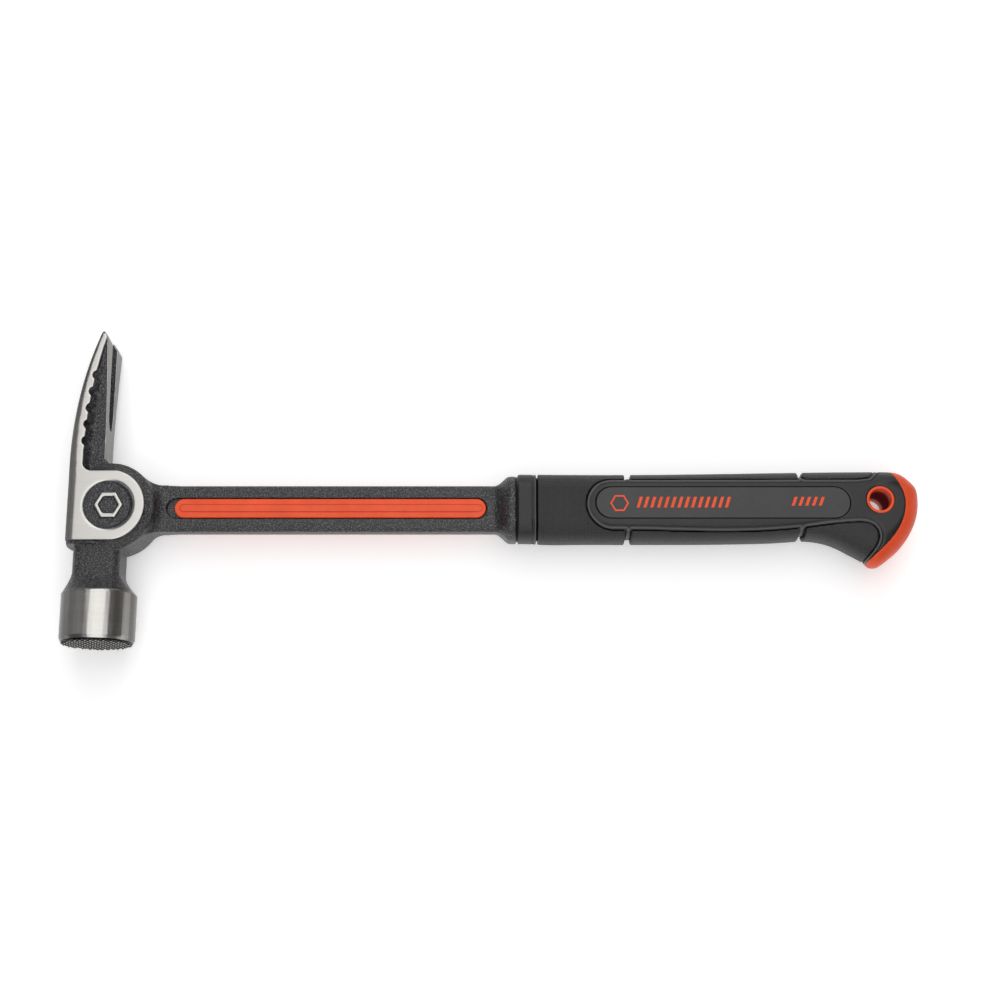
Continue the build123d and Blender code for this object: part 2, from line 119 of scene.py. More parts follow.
class HammerColours(bpy.types.PropertyGroup):
    """Base colours of the finishes."""

    coat: bpy.props.FloatVectorProperty(
        name="Forging coat", description="Black textured coat of the forging",
        default=(0.0045, 0.0045, 0.005), subtype="COLOR",
    )
    steel: bpy.props.FloatVectorProperty(
        name="Bare steel", description="Brushed steel of the cheeks, the claw and the poll",
        default=(0.56, 0.545, 0.52), subtype="COLOR",
    )
    accent: bpy.props.FloatVectorProperty(
        name="Accent", description="Orange of the inlays, the liner, the marks and the butt cap",
        default=(0.83, 0.078, 0.014), subtype="COLOR",
    )
    hard: bpy.props.FloatVectorProperty(
        name="Hard grip", description="Hard moulded core of the grip",
        default=(0.007, 0.007, 0.0074), subtype="COLOR",
    )
    soft: bpy.props.FloatVectorProperty(
        name="Soft grip", description="Soft rubber pads of the grip",
        default=(0.0095, 0.0095, 0.0097), subtype="COLOR",
    )
    panel: bpy.props.FloatVectorProperty(
        name="Side panel", description="Satin plates set into the grip's sides",
        default=(0.023, 0.023, 0.0235), subtype="COLOR",
    )


def sizes():
    """The scene's size settings."""
    return bpy.context.scene.hammer_sizes


def colours():
    """The scene's colour settings."""
    return bpy.context.scene.hammer_colours


# ------------------------------------------------------------------ node helpers


class Sheet:
    """Short-hand for laying out one node tree."""

    def __init__(self, tree):
        self.tree = tree

    def node(self, kind, **settings):
        """A new node with its settings."""
        made = self.tree.nodes.new(kind)
        for key, value in settings.items():
            setattr(made, key, value)
        return made

    def feed(self, socket, value):
        """Link a socket to another, or set its own value."""
        if isinstance(value, bpy.types.NodeSocket):
            self.tree.links.new(value, socket)
        elif isinstance(value, (tuple, list)) and socket.type == "RGBA":
            socket.default_value = (*value[:3], 1.0)
        else:
            socket.default_value = value

    def math(self, operation, first, second=0.0, third=None, clamp=False):
        """One arithmetic step."""
        step = self.node("ShaderNodeMath", operation=operation, use_clamp=clamp)
        self.feed(step.inputs[0], first)
        self.feed(step.inputs[1], second)
        if third is not None:
            self.feed(step.inputs[2], third)
        return step.outputs[0]

    def remap(self, value, low, high, to_low=0.0, to_high=1.0, smooth=False):
        """A value moved from one range to another and kept inside it."""
        step = self.node("ShaderNodeMapRange")
        if smooth:
            step.interpolation_type = "SMOOTHSTEP"
        for index, given in enumerate((value, low, high, to_low, to_high)):
            self.feed(step.inputs[index], given)
        return step.outputs[0]

    def blend(self, share, first, second):
        """Two colours mixed by a share."""
        step = self.node("ShaderNodeMix", data_type="RGBA")
        self.feed(step.inputs["Factor"], share)
        self.feed(step.inputs[6], first)
        self.feed(step.inputs[7], second)
        return step.outputs[2]

    def mix(self, share, first, second):
        """Two numbers mixed by a share."""
        step = self.node("ShaderNodeMix", data_type="FLOAT")
        self.feed(step.inputs["Factor"], share)
        self.feed(step.inputs[2], first)
        self.feed(step.inputs[3], second)
        return step.outputs[0]

    def noise(self, vector, scale, detail=3.0, roughness=0.5):
        """Cloudy noise from 0 to 1."""
        step = self.node("ShaderNodeTexNoise")
        self.feed(step.inputs["Vector"], vector)
        self.feed(step.inputs["Scale"], scale)
        self.feed(step.inputs["Detail"], detail)
        self.feed(step.inputs["Roughness"], roughness)
        return step.outputs["Fac"]

    def place(self):
        """Place on the object, in metres."""
        return self.node("ShaderNodeTexCoord").outputs["Object"]

    def stretch(self, vector, factors):
        """A vector scaled along each axis."""
        step = self.node("ShaderNodeVectorMath", operation="MULTIPLY")
        self.feed(step.inputs[0], vector)
        self.feed(step.inputs[1], factors)
        return step.outputs[0]

    def axes(self, vector):
        """The three parts of a vector."""
        step = self.node("ShaderNodeSeparateXYZ")
        self.feed(step.inputs[0], vector)
        return step.outputs

    def away_from(self, value, middle):
        """How far a value is from a middle value, whichever side it is on."""
        return self.math("ABSOLUTE", self.math("SUBTRACT", value, middle))

    def group(self, tree, **given):
        """A shared node group with this material's own values."""
        made = self.node("ShaderNodeGroup")
        made.node_tree = tree
        for name, value in given.items():
            self.feed(made.inputs[name.replace("_", " ")], value)
        return made

    def bump(self, height, distance, strength=1.0):
        """Surface normals raised by a height."""
        step = self.node("ShaderNodeBump")
        self.feed(step.inputs["Height"], height)
        step.inputs["Distance"].default_value = distance
        step.inputs["Strength"].default_value = strength
        return step.outputs[0]

    def stored(self, name):
        """A number stored at the mesh's points."""
        return self.node("ShaderNodeAttribute", attribute_name=name).outputs["Fac"]


def new_group(name, inputs, outputs):
    """An empty node group with named sockets, its sheet and its two end nodes."""
    tree = bpy.data.node_groups.new(name, "ShaderNodeTree")
    for label, default in inputs:
        socket = tree.interface.new_socket(label, in_out="INPUT", socket_type="NodeSocketFloat")
        socket.default_value = default
    for label in outputs:
        tree.interface.new_socket(label, in_out="OUTPUT", socket_type="NodeSocketFloat")
    sheet = Sheet(tree)
    return sheet, sheet.node("NodeGroupInput"), sheet.node("NodeGroupOutput")


def shared(name, build):
    """The node group of that name, built the first time it is asked for."""
    return bpy.data.node_groups.get(name) or build(name)


def build_grit(name):
    """Fine cast or sprayed grain: a height and scattered brighter specks."""
    inputs = (("Scale", 900.0), ("Speck Share", 0.3))
    sheet, start, end = new_group(name, inputs, ("Height", "Specks"))
    where = sheet.place()
    coarse = sheet.noise(where, start.outputs["Scale"], 2.0, 0.55)
    fine_scale = sheet.math("MULTIPLY", start.outputs["Scale"], 1.8)
    fine = sheet.noise(where, fine_scale, 2.0, 0.6)
    height = sheet.mix(0.4, coarse, fine)
    edge = sheet.math("SUBTRACT", 0.7, sheet.math("MULTIPLY", start.outputs["Speck Share"], 0.4))
    specks = sheet.remap(fine, edge, sheet.math("ADD", edge, 0.08))
    sheet.feed(end.inputs["Height"], height)
    sheet.feed(end.inputs["Specks"], specks)
    return sheet.tree


def build_brushing(name):
    """Fine parallel scratches that run along X."""
    inputs = (("Length", 90.0), ("Fineness", 2600.0))
    sheet, start, end = new_group(name, inputs, ("Streaks", "Height"))
    across = sheet.node("ShaderNodeCombineXYZ")
    sheet.feed(across.inputs[0], start.outputs["Length"])
    sheet.feed(across.inputs[1], start.outputs["Fineness"])
    sheet.feed(across.inputs[2], start.outputs["Length"])
    drawn = sheet.stretch(sheet.place(), across.outputs[0])
    streaks = sheet.noise(drawn, 1.0, 2.0, 0.6)
    bands = sheet.noise(sheet.stretch(drawn, (0.35, 0.12, 0.35)), 1.0, 1.0, 0.5)
    sheet.feed(end.inputs["Streaks"], sheet.mix(0.4, streaks, bands))
    sheet.feed(end.inputs["Height"], streaks)
    return sheet.tree


def build_wear(name):
    """Rubbed edges: bright where the surface turns sharply outwards, broken up by noise."""
    inputs = (("Start", 0.53), ("Full", 0.6), ("Patch Scale", 160.0))
    sheet, start, end = new_group(name, inputs, ("Wear",))
    corner = sheet.node("ShaderNodeNewGeometry").outputs["Pointiness"]
    edge = sheet.remap(corner, start.outputs["Start"], start.outputs["Full"])
    patches = sheet.noise(sheet.place(), start.outputs["Patch Scale"], 4.0, 0.6)
    broken = sheet.remap(patches, 0.38, 0.62)
    sheet.feed(end.inputs["Wear"], sheet.math("MULTIPLY", edge, broken))
    return sheet.tree


def build_dust(name):
    """A thin uneven film of dust and handling marks."""
    sheet, start, end = new_group(name, (("Amount", 0.5), ("Patch Scale", 45.0)), ("Film",))
    where = sheet.place()
    clouds = sheet.noise(where, start.outputs["Patch Scale"], 5.0, 0.62)
    fine = sheet.noise(where, 1400.0, 2.0, 0.5)
    film = sheet.math("MULTIPLY", sheet.remap(clouds, 0.35, 0.75), sheet.remap(fine, 0.3, 0.8))
    sheet.feed(end.inputs["Film"], sheet.math("MULTIPLY", film, start.outputs["Amount"]))
    return sheet.tree


def build_dots(name):
    """Rows of small raised dots, laid along the handle on its sides and on its top and belly."""
    sheet, start, end = new_group(name, (("Pitch", 0.00105),), ("Height",))
    facing = sheet.axes(sheet.node("ShaderNodeNewGeometry").outputs["Normal"])
    turn = sheet.math("DIVIDE", math.pi, start.outputs["Pitch"])
    waves = [sheet.math("SINE", sheet.math("MULTIPLY", axis, turn)) for axis in sheet.axes(sheet.place())]
    side = sheet.math("MULTIPLY", waves[0], waves[1])
    rim = sheet.math("MULTIPLY", waves[0], waves[2])
    share = sheet.remap(sheet.math("ABSOLUTE", facing[2]), 0.45, 0.65)
    height = sheet.math("ABSOLUTE", sheet.mix(share, rim, side))
    sheet.feed(end.inputs["Height"], sheet.remap(height, 0.25, 0.85, smooth=True))
    return sheet.tree


def new_material(name):
    """A material with its sheet and its surface shader."""
    material = bpy.data.materials.new(name)
    material.use_nodes = True
    sheet = Sheet(material.node_tree)
    surface = next(n for n in material.node_tree.nodes if n.type == "BSDF_PRINCIPLED")
    return material, sheet, surface


# ------------------------------------------------------------------ mesh helpers

WELD_DISTANCE = 2e-6


def link(name, mesh):
    """A new object in the scene."""
    piece = bpy.data.objects.new(name, mesh)
    bpy.context.scene.collection.objects.link(piece)
    return piece


def welded_copy(node, cut_x=None):
    """A copy of a CAD node's mesh as one closed skin, cut off and closed at cut_x if given."""
    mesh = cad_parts[node].data.copy()
    mesh.materials.clear()
    work = bmesh.new()
    work.from_mesh(mesh)
    bmesh.ops.remove_doubles(work, verts=work.verts, dist=WELD_DISTANCE)
    if cut_x is not None:
        everything = work.verts[:] + work.edges[:] + work.faces[:]
        bmesh.ops.bisect_plane(
            work, geom=everything, plane_co=(cut_x, 0, 0), plane_no=(1, 0, 0), clear_outer=True
        )
        rim = [edge for edge in work.edges if edge.is_boundary]
        bmesh.ops.holes_fill(work, edges=rim, sides=0)
    work.to_mesh(mesh)
    work.free()
    return mesh


def settle(piece):
    """Apply a piece's modifiers to its mesh."""
    seen = piece.evaluated_get(bpy.context.evaluated_depsgraph_get())
    mesh = bpy.data.meshes.new_from_object(seen)
    piece.modifiers.clear()
    piece.data = mesh
    return piece


def moulded(node, name, voxel, rounds, keep, cut_x=None, crisp=None):
    """A fine copy of a CAD node with softly rounded edges, standing for that node.

    Points for which crisp gives True keep the CAD's sharp detail.
    """
    piece = link(name, welded_copy(node, cut_x))
    remesh = piece.modifiers.new("Fine skin", "REMESH")
    remesh.mode = "VOXEL"
    remesh.voxel_size = voxel
    settle(piece)
    soften = piece.modifiers.new("Soft edges", "SMOOTH")
    soften.factor = 0.5
    soften.iterations = rounds
    lean = piece.modifiers.new("Lean mesh", "DECIMATE")
    lean.ratio = keep
    if crisp:
        soft = np.flatnonzero(~crisp(points_of(piece.data)))
        piece.vertex_groups.new(name="soft").add(soft.tolist(), 1.0, "REPLACE")
        soften.vertex_group = "soft"
        lean.vertex_group = "soft"
    settle(piece)
    piece.vertex_groups.clear()
    piece.data.name = name
    piece.data.shade_smooth()
    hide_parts(node)
    return piece


def finish_piece(piece, slot, *materials):
    """Give a piece its materials and its body. The slot is not used."""
    for material in materials:
        piece.data.materials.append(material)
    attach(piece, "root")
    return piece


def points_of(mesh):
    """The mesh's points on the hammer's own axes, in millimetres."""
    flat = np.empty(len(mesh.vertices) * 3)
    mesh.vertices.foreach_get("co", flat)
    return (flat.reshape(-1, 3) - np.array(AXES)) / MM


def move_points(mesh, points):
    """Put the mesh's points where they are given on the hammer's own axes, in millimetres."""
    mesh.vertices.foreach_set("co", (points * MM + np.array(AXES)).ravel())
    mesh.update()


def store(mesh, name, values):
    """Keep one number for each point of the mesh."""
    layer = mesh.attributes.new(name, "FLOAT", "POINT")
    layer.data.foreach_set("value", np.ascontiguousarray(values, dtype=np.float32))


# ------------------------------------------------------------------ forging

# Top of the head and outer curve of the claw.
TOP_X = -15.8
CLAW_START_Y = 12.0
CLAW_TIP_X = -1.6
CLAW_BEND = 2.28

# Polished cheek: half widths at the eye and at the tip, its rounded edge and its lower end.
PLATEAU_Z = 14.4
TIP_Z = 17.0
EDGE_R = 4.6
EDGE_NARROWING = 0.75
GRIND_DEPTH = 0.4
GRIND_MARGIN = 1.5
GRIND_MARGIN_Y = (22.0, 52.0)
CHEEK_LOW_Y = -19.0

# Claw's under side, with its bevel at the tip.
UNDER_X = 0.9
UNDER_START_Y = 24.0
UNDER_HALF_Z = 18
BEVEL_START_Y = 84.3
BEVEL = (2.3, 4.2)
COATED = -9.0

# Poll and its cross-milled face.
POLL_RIM_Y = -43.0
RIM_RISE = (0.7, 1.5)
POLL_FACE_Y = -66.0
CHAMFER_Y = -64.4
CHAMFER_SLOPE = 1.6 / 3.3
FACE_MARGIN = 0.3
FACE_EDGE = 0.2
TOOTH_FOOT = 0.1
TOOTH_TIP_Y = -67.7
TOOTH_PITCH = 2.7
TOOTH_DEPTH = 1.5
FACE_TURN = math.radians(13)

# Pocket between the claw's strip and its under side.
POCKET_LOW_Y = 16.8
STRIP_WIDTH = 7.4
STRIP_NARROWING = 4.0
BITES_Y = (65.0, 56.65, 48.3, 39.95, 31.6)
BITE_R = 2.4
BITE_INSET = 0.9
WEB_Z = 8.0
WEB_FLARE_Y = 30.0
WEB_FLARE = 1.6
FOOT_REACH = 2.6
FOOT_RISE = 3.4
FOOT_TOP_Z = PLATEAU_Z - 0.6
WALL_SLACK = 0.25
FLOOR_SLACK = 0.6
UNDER_CLEAR = 0.3

# How far the forging's skin goes on inside the grip, in metres.
HIDDEN_END = 0.0015


def claw_share(y):
    """0 below the start of the claw's curve and 1 at its tip."""
    return np.clip((y - CLAW_START_Y) / (CLAW_TIP_Y - CLAW_START_Y), 0, 1)


def outer_edge(y):
    """X of the claw's outer curve, which runs straight along the top of the head."""
    return TOP_X + (CLAW_TIP_X - TOP_X) * claw_share(y) ** CLAW_BEND


def polished_reach(points):
    """Distance inside the polished cheek, in millimetres, and negative on the coat."""
    x, y, z = points.T
    share = claw_share(y)
    cheek = PLATEAU_Z + (TIP_Z - PLATEAU_Z) * share
    inward = x - outer_edge(y)
    radius = EDGE_R * (1 - EDGE_NARROWING * share)
    lean = np.clip(radius - inward, 0, radius)
    level = cheek - radius + np.sqrt(radius**2 - lean**2)
    height = np.abs(z) - level + GRIND_DEPTH
    low, high = GRIND_MARGIN_Y
    margin = GRIND_MARGIN * np.clip((high - y) / (high - low), 0, 1) - GRIND_DEPTH * share
    return np.minimum.reduce([height, inward - margin, y - CHEEK_LOW_Y])


def bare_reach(points):
    """Distance inside any bare steel: the cheeks, the poll and the claw's under side."""
    x, y, z = points.T
    depth, length = BEVEL
    bevel = np.clip((y - BEVEL_START_Y) / length, 0, 1) * depth
    under = np.minimum(x - (UNDER_X - bevel - GRIND_DEPTH), y - UNDER_START_Y)
    under = np.where(np.abs(z) < UNDER_HALF_Z, under, COATED)
    rim = POLL_RIM_Y + RIM_RISE[0] + RIM_RISE[1] * (1 - np.abs(z) / POLL_R)
    return np.maximum.reduce([polished_reach(points), rim - y, under])


def strip_edge(y):
    """X of the claw strip's inner edge, before the bites."""
    return outer_edge(y) + STRIP_WIDTH - STRIP_NARROWING * claw_share(y) ** 2


def raise_foot(mesh):
    """Sweep the pocket's floor up to its walls in a hollow ramp, as a forging die leaves it."""
    points = points_of(mesh)
    x, y, z = points.T
    reach = x - strip_edge(y)
    for bite_y in BITES_Y:
        middle_x = strip_edge(bite_y) + BITE_INSET
        reach = np.maximum(reach, BITE_R - np.hypot(x - middle_x, y - bite_y))
    reach = np.minimum(reach, y - POCKET_LOW_Y)
    flare = np.clip((y - WEB_FLARE_Y) / (CLAW_TIP_Y - WEB_FLARE_Y), 0, 1)
    floor = WEB_Z + (TIP_Z - WEB_Z) * flare**WEB_FLARE
    near = np.clip(1 - reach / FOOT_REACH, 0, 1)
    target = np.minimum(floor + FOOT_RISE * near**2, np.maximum(floor, FOOT_TOP_Z))
    level = np.abs(z)
    beside_wall = (reach > -WALL_SLACK) & (near > 0) & (x < UNDER_X - UNDER_CLEAR)
    moved = beside_wall & (level > floor - FLOOR_SLACK) & (level < target)
    points[moved, 2] = np.sign(z[moved]) * target[moved]
    move_points(mesh, points)


def forging_material():
    """Black gritty coat with brushed bare steel where the coat is ground off. The steel has painted shade
    where it is seen edge-on and in the valleys between the poll's teeth, and the coat's specks are partly
    painted glints.
    """
    material, sheet, surface = new_material("forging_finish")
    grit = sheet.group(shared("Grit", build_grit), Scale=900.0, Speck_Share=0.42)
    brush = sheet.group(shared("Brushing", build_brushing), Length=70.0, Fineness=2400.0)
    wear = sheet.group(shared("Edge Wear", build_wear), Start=0.56, Full=0.68, Patch_Scale=260.0)
    film = sheet.group(shared("Dust", build_dust), Amount=0.5, Patch_Scale=60.0)
    bare = sheet.remap(sheet.stored("bare"), -0.06, 0.06)
    rubbed = sheet.math("MULTIPLY", wear.outputs["Wear"], 0.5)
    metal = sheet.math("MAXIMUM", bare, rubbed)
    coat = colours().coat
    steel = colours().steel
    # Paler specks in the coat: partly real flecks in the grain, partly painted glints of the grain
    # catching the light.
    speck = tuple(channel * 26 for channel in coat)
    flecks_and_glints = sheet.blend(grit.outputs["Specks"], tuple(coat), speck)
    dusty = sheet.blend(film.outputs["Film"], flecks_and_glints, (0.04, 0.039, 0.037))
    dark_steel = tuple(channel * 0.88 for channel in steel)
    brushed = sheet.blend(sheet.remap(brush.outputs["Streaks"], 0.3, 0.7), dark_steel, tuple(steel))
    # Painted shade: the valleys between the poll face's teeth are painted near-black, while the tips keep
    # the steel.
    tooth = sheet.stored("tooth")
    valley = sheet.math(
        "MULTIPLY", sheet.remap(tooth, 0.02, 0.2), sheet.remap(tooth, 1.2, 1.5, 1.0, 0.0)
    )
    shaded_valleys = sheet.blend(valley, brushed, (0.012, 0.012, 0.011))
    # Painted shade: bare steel seen edge-on is painted darker, except on the poll's teeth.
    edge_on = sheet.node("ShaderNodeLayerWeight").outputs["Facing"]
    smooth_side = sheet.remap(tooth, 0.0, 0.3, 1.0, 0.0)
    shade = sheet.math("MULTIPLY", smooth_side, sheet.remap(edge_on, 0.14, 0.5, 0.0, 0.8))
    edge_on_shaded_steel = sheet.blend(shade, shaded_valleys, (0.02, 0.02, 0.018))
    sheet.feed(surface.inputs["Base Color"], sheet.blend(metal, dusty, edge_on_shaded_steel))
    sheet.feed(surface.inputs["Metallic"], metal)
    surface.inputs["Specular IOR Level"].default_value = 0.62
    steel_rough = sheet.remap(brush.outputs["Streaks"], 0.25, 0.75, 0.26, 0.33)
    coat_rough = sheet.remap(grit.outputs["Height"], 0.3, 0.7, 0.26, 0.44)
    sheet.feed(surface.inputs["Roughness"], sheet.mix(metal, coat_rough, steel_rough))
    scratches = sheet.math("MULTIPLY", brush.outputs["Height"], 0.008)
    grain = sheet.mix(metal, grit.outputs["Height"], scratches)
    sheet.feed(surface.inputs["Normal"], sheet.bump(grain, 0.0008))
    return material


def mill_face(mesh):
    """Cut the poll's face into rows of small pyramids, turned a little off the hammer's axis."""
    points = points_of(mesh)
    x, y, z = points.T
    rim = POLL_R - CHAMFER_SLOPE * (CHAMFER_Y - y)
    face = (y < POLL_FACE_Y - FACE_MARGIN) & (np.hypot(x, z) < rim - FACE_MARGIN)
    rows = (
        x * math.cos(FACE_TURN) + z * math.sin(FACE_TURN),
        z * math.cos(FACE_TURN) - x * math.sin(FACE_TURN),
    )
    slopes = [1 - 2 * np.abs((row / TOOTH_PITCH) % 1 - 0.5) for row in rows]
    height = TOOTH_TIP_Y + TOOTH_DEPTH * (1 - np.minimum(*slopes))
    points[face, 1] = height[face]
    move_points(mesh, points)


def on_face(points):
    """True on the poll's cross-milled face."""
    return points[:, 1] < POLL_FACE_Y + FACE_EDGE


class HAMMER_OT_forging(bpy.types.Operator):
    """Forged head, shank and flange with coated and bare steel"""

    bl_idname = "hammer.forging"
    bl_label = "Forging"

    def execute(self, context):
        grip_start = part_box("grip_core")[0].x
        cut_x = grip_start + HIDDEN_END
        piece = moulded("forged_body", "forging_skin", sizes().steel_voxel, 2, 0.5, cut_x, on_face)
        raise_foot(piece.data)
        mill_face(piece.data)
        points = points_of(piece.data)
        store(piece.data, "bare", bare_reach(points))
        store(piece.data, "tooth", POLL_FACE_Y + TOOTH_FOOT - points[:, 1])
        finish_piece(piece, "forged_steel", forging_material())
        return {"FINISHED"}


# ------------------------------------------------------------------ coloured parts

# Raised rib of the inlays, and the width of the line of painted shade round its edge.
RIB_HALF_Y = 1.8
RIB_MIDDLE = (112.6, -0.1)
RIB_HALF_X = 72.6
RIB_LINE = (0.45, 0.1)
RIB_SHADE_COLOUR = (0.4, 0.02, 0.006)

# Painted shade inside the hanging hole: the liner's colour deepens from here inwards, in metres from the
# middle plane.
LINER_SHADED = 0.0095
INSIDE_SHARE = 0.6
HOLE_SHADE_COLOUR = (0.2, 0.006, 0.003)
INSIDE_ROUGHNESS = 0.95


def rib_edge_shade(sheet):
    """Full on the line of painted shade round the edge of the inlay's raised rib."""
    x, y, _ = sheet.axes(sheet.place())
    middle_x, middle_y = (AXES[axis] + RIB_MIDDLE[axis] * MM for axis in (0, 1))
    past = sheet.math("SUBTRACT", sheet.away_from(x, middle_x), RIB_HALF_X * MM)
    past = sheet.math("MAXIMUM", past, 0.0)
    aside = sheet.math("SUBTRACT", y, middle_y)
    squares = [sheet.math("MULTIPLY", step, step) for step in (past, aside)]
    reach = sheet.math("SQRT", sheet.math("ADD", *squares))
    away = sheet.away_from(reach, RIB_HALF_Y * MM)
    return sheet.remap(away, RIB_LINE[0] * MM, RIB_LINE[1] * MM, 0.0, 0.6)


def accent_material(name, deepen, roughness, grain, shaded_below=None, rib=False):
    """Orange plastic or rubber: fine grain of a given scale and depth, mottling and rubbed film.

    Below shaded_below, in metres from the middle plane, the colour turns deep red as painted shade inside
    the hole. With rib, a fine line of painted shade runs round the edge of the inlay's rib.
    """
    material, sheet, surface = new_material(name)
    grit = sheet.group(shared("Grit", build_grit), Scale=grain[0], Speck_Share=0.2)
    film = sheet.group(shared("Dust", build_dust), Amount=0.35, Patch_Scale=70.0)
    clouds = sheet.noise(sheet.place(), 90.0, 4.0, 0.6)
    base = tuple(channel * deepen for channel in colours().accent)
    pale = tuple(min(channel * 1.12 + 0.012, 1.0) for channel in base)
    tone = sheet.blend(sheet.remap(clouds, 0.3, 0.7), base, pale)
    tone = sheet.blend(film.outputs["Film"], tone, (0.34, 0.1, 0.06))
    if rib:
        # Painted shade along the edge of the raised rib.
        tone = sheet.blend(rib_edge_shade(sheet), tone, RIB_SHADE_COLOUR)
    inside = 0.0
    # Painted shade: the liner's colour deepens to deep red towards the middle of the hanging hole.
    if shaded_below:
        level = sheet.away_from(sheet.axes(sheet.place())[2], AXES.z)
        inside = sheet.remap(level, shaded_below, shaded_below * INSIDE_SHARE)
        tone = sheet.blend(inside, tone, HOLE_SHADE_COLOUR)
    sheet.feed(surface.inputs["Base Color"], tone)
    surface.inputs["Specular IOR Level"].default_value = 0.28
    rough = sheet.remap(grit.outputs["Height"], 0.3, 0.7, roughness - 0.06, roughness + 0.08)
    sheet.feed(surface.inputs["Roughness"], sheet.mix(inside, rough, INSIDE_ROUGHNESS))
    sheet.feed(surface.inputs["Normal"], sheet.bump(grit.outputs["Height"], grain[1]))
    return material


class HAMMER_OT_inlays(bpy.types.Operator):
    """Coloured strips set into both faces of the shank"""

    bl_idname = "hammer.inlays"
    bl_label = "Shank inlays"

    def execute(self, context):
        material = accent_material("inlay_plastic", 1.0, 0.34, (500.0, 0.00002), rib=True)
        for node in ("inlay_front", "inlay_back"):
            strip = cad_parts[node]
            strip.data.materials.clear()
            strip.data.materials.append(material)
        return {"FINISHED"}


class HAMMER_OT_butt_cap(bpy.types.Operator):
    """Coloured rubber cap moulded over the butt"""

    bl_idname = "hammer.butt_cap"
    bl_label = "Butt cap"

    def execute(self, context):
        piece = moulded("butt_cap", "butt_cap_skin", sizes().grip_voxel, 3, 0.5)
        material = accent_material("cap_rubber", 0.9, 0.42, (900.0, 0.00004))
        finish_piece(piece, "accent_orange", material)
        return {"FINISHED"}


class HAMMER_OT_liner(bpy.types.Operator):
    """Coloured sleeve that lines the hanging hole"""

    bl_idname = "hammer.liner"
    bl_label = "Hole liner"

    def execute(self, context):
        piece = moulded("hang_hole_liner", "hole_liner_skin", sizes().liner_voxel, 3, 0.5)
        grain = (700.0, 0.00002)
        material = accent_material("liner_plastic", 0.95, 0.36, grain, shaded_below=LINER_SHADED)
        finish_piece(piece, "accent_orange", material)
        return {"FINISHED"}


# ------------------------------------------------------------------ grip

PADS = ("front_sleeve", "top_pad", "bottom_pad", "rear_top_pad", "hook_pad")

# Middle and half width of each groove beside the bead, and of the bead, from the pads' edges.
GROOVES = ((0.25, 0.5), (2.25, 0.62))
BEAD = (1.25, 0.75)
# Painted highlight on the bead's crest and painted shade on the grooves' floors.
BEAD_CREST_HIGHLIGHT = (0.075, 0.075, 0.076)
GROOVE_SHADE_COLOUR = (0.001, 0.001, 0.001)
FAR_FROM_PADS = 20.0


def grip_material(name, tint, roughness, grain, dots=None, groove=False):
    """Dark moulded plastic or rubber with grain, light dust and rubbed edges.

    Dots is the pitch of raised dots, and groove paints shade into the grooves beside the bead and a
    highlight along the bead's crest.
    """
    material, sheet, surface = new_material(name)
    grit = sheet.group(shared("Grit", build_grit), Scale=grain[0], Speck_Share=0.25)
    film = sheet.group(shared("Dust", build_dust), Amount=0.45, Patch_Scale=50.0)
    wear = sheet.group(shared("Edge Wear", build_wear), Start=0.53, Full=0.6, Patch_Scale=120.0)
    pale = tuple(channel * 2.4 + 0.012 for channel in tint)
    clouds = sheet.noise(sheet.place(), 60.0, 4.0, 0.6)
    deep = tuple(channel * 0.75 for channel in tint)
    tone = sheet.blend(sheet.remap(clouds, 0.3, 0.7), deep, tuple(tint))
    worn = sheet.blend(sheet.math("MULTIPLY", wear.outputs["Wear"], 0.6), tone, pale)
    colour = sheet.blend(film.outputs["Film"], worn, pale)
    height = grit.outputs["Height"]
    if groove:
        # Painted highlight along the bead's crest, then painted shade in the grooves.
        crest = sheet.away_from(sheet.stored("pad_distance"), BEAD[0])
        crest_highlight = sheet.remap(crest, BEAD[1], BEAD[1] * 0.3, 0.0, 0.8)
        colour = sheet.blend(crest_highlight, colour, BEAD_CREST_HIGHLIGHT)
        colour = sheet.blend(groove_shade_mask(sheet), colour, GROOVE_SHADE_COLOUR)
    if dots:
        raised = sheet.group(shared("Dots", build_dots), Pitch=dots)
        height = sheet.math("ADD", sheet.math("MULTIPLY", height, 0.35), raised.outputs["Height"])
        colour = sheet.blend(sheet.math("MULTIPLY", raised.outputs["Height"], 0.5), colour, pale)
    sheet.feed(surface.inputs["Base Color"], colour)
    rough = sheet.remap(grit.outputs["Height"], 0.3, 0.7, roughness - 0.05, roughness + 0.08)
    sheet.feed(surface.inputs["Roughness"], rough)
    sheet.feed(surface.inputs["Normal"], sheet.bump(height, grain[1]))
    return material


def groove_shade_mask(sheet):
    """Full inside the two narrow grooves beside the bead, where shade is painted."""
    reach = sheet.stored("pad_distance")
    masks = []
    for middle, half in GROOVES:
        masks.append(sheet.remap(sheet.away_from(reach, middle), half * 0.9, half * 0.45))
    return sheet.math("MAXIMUM", *masks)


def distance_to_pads(mesh, nodes):
    """Distance of each point to the nearest soft pad, in millimetres."""
    trees = []
    for node in nodes:
        work = bmesh.new()
        work.from_mesh(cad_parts[node].data)
        trees.append(BVHTree.FromBMesh(work))
        work.free()
    reach = np.full(len(mesh.vertices), FAR_FROM_PADS)
    search = 4 * MM
    for index, vertex in enumerate(mesh.vertices):
        found = [tree.find_nearest(vertex.co, search)[3] for tree in trees]
        near = [distance for distance in found if distance is not None]
        if near:
            reach[index] = min(near) / MM
    return reach


